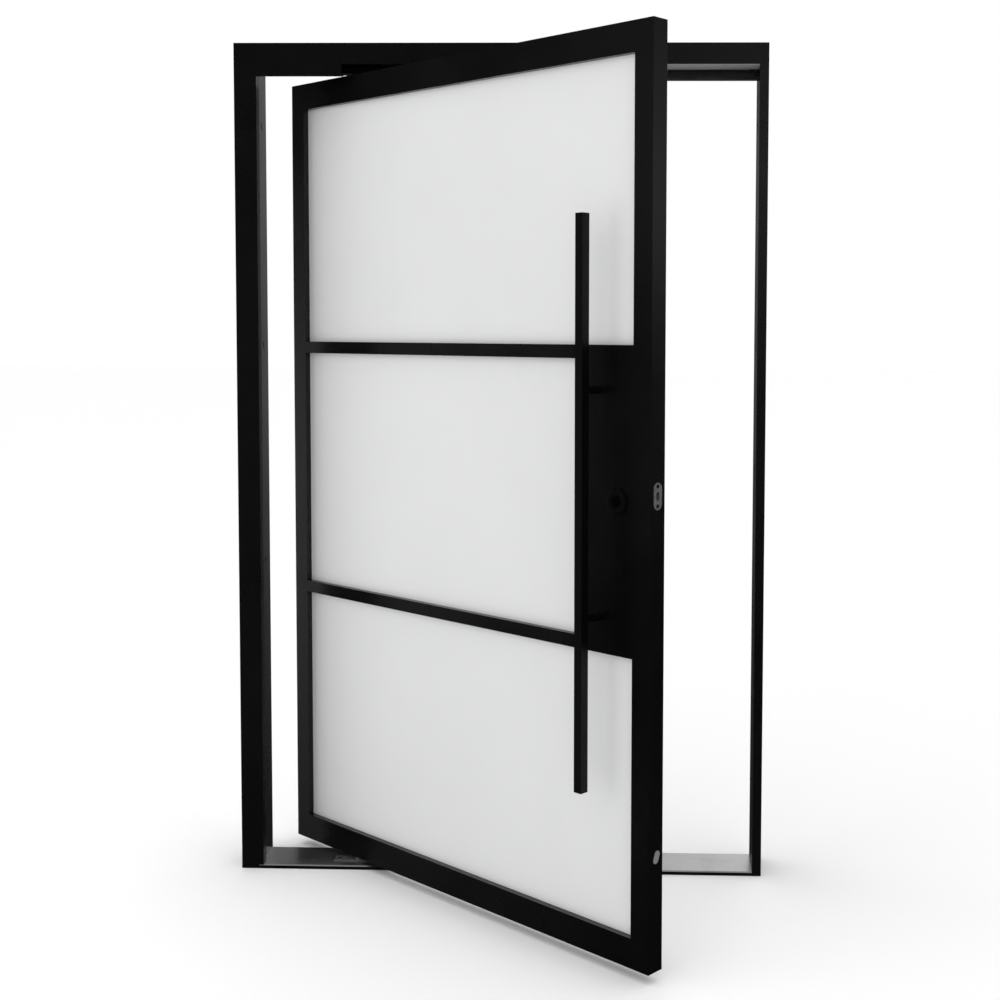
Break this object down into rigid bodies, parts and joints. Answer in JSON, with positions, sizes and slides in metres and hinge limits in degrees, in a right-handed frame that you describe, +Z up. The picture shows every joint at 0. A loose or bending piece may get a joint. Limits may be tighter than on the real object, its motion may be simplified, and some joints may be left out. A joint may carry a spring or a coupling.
{
  "type": "glass pivot door",
  "caption": "Black steel pivot door in its frame: frosted glass lites between slim glazing bars, a lock panel, long square pull bars and a deadbolt; the leaf stands open.",
  "frame": {"origin": "middle of the threshold's underside, halfway through the frame's depth", "axes": "+Z up, +X from the hinge jamb to the lock jamb, -Y towards the side that the leaf's lock edge opens to"},
  "size_m": [1.525, 0.9594, 2.4],
  "materials": {
    "frame_black": "satin",
    "leaf_black": "satin",
    "threshold_metal": "satin",
    "frosted_glass": "satin",
    "black_rubber": "matte",
    "black_pile": "matte",
    "zinc_steel": "satin",
    "satin_steel": "satin",
    "black_steel": "satin",
    "hardware_black": "satin",
    "black_plastic": "matte",
    "brass": "satin"
  },
  "bodies": {
    "frame": {"hinge_jamb": "frame_black", "lock_jamb": "frame_black", "head": "frame_black", "threshold": "threshold_metal", "jamb_stop": "frame_black", "head_stop_front": "frame_black", "head_stop_rear": "frame_black", "soffit_strip": "threshold_metal", "seal_jamb": "black_rubber", "seal_head_front": "black_rubber", "seal_head_rear": "black_rubber", "head_cleats": "zinc_steel", "frame_screws": "zinc_steel", "fixing_caps": "frame_black", "strike_plate": "hardware_black", "strike_screws": "hardware_black", "top_pivot_housing": "zinc_steel", "top_pivot_pin": "black_steel", "top_pivot_block": "black_steel", "bottom_pivot_plate": "satin_steel", "pivot_plate_screws": "black_steel", "thrust_washer": "brass"},
    "leaf": {"hinge_stile": "leaf_black", "lock_stile": "leaf_black", "top_rail": "leaf_black", "bottom_rail": "leaf_black", "upper_bar": "leaf_black", "lower_bar": "leaf_black", "panel_upright": "leaf_black", "lock_panel_front": "leaf_black", "lock_panel_back": "leaf_black", "glass_top": "frosted_glass", "glass_middle": "frosted_glass", "glass_bottom": "frosted_glass", "beads_top": "leaf_black", "beads_middle": "leaf_black", "beads_bottom": "leaf_black", "gaskets_top": "black_rubber", "gaskets_middle": "black_rubber", "gaskets_bottom": "black_rubber", "setting_blocks": "black_plastic", "top_pivot_bush": "zinc_steel", "bottom_pivot_block": "zinc_steel", "pivot_block_screws": "zinc_steel", "bottom_brush": "black_pile", "edge_cap": "satin_steel", "pull_bar_front": "hardware_black", "pull_bar_back": "hardware_black", "pull_bar_caps": "hardware_black", "handle_posts": "hardware_black", "handle_studs": "zinc_steel", "lock_case": "zinc_steel", "faceplate": "satin_steel", "faceplate_screws": "hardware_black", "cylinder_body": "black_steel", "rose_front": "hardware_black", "rose_back": "hardware_black"},
    "lock_turn": {"lock_spindle": "black_steel", "thumbturn": "hardware_black"},
    "bolt": {"lock_bolt": "satin_steel"}
  },
  "joints": [
    {"name": "leaf_swing", "type": "hinge", "parent": "frame", "child": "leaf", "pos_m": [-0.4235, -0.02, 0], "axis": [0, 0, -1], "range_deg": [-40, 50]},
    {"name": "lock_turn", "type": "hinge", "parent": "leaf", "child": "lock_turn", "pos_m": [0.38008, -0.69428, 1.171], "axis": [0.6428, 0.766, 0], "range_deg": [0, 90]},
    {"name": "bolt_throw", "type": "slide", "parent": "leaf", "child": "bolt", "axis": [0.766, -0.6428, 0], "range_m": [0, 0.01838]}
  ],
  "couplings": [
    {"joint": "bolt_throw", "follows": "lock_turn", "m_per_rad": 0.011704}
  ]
}
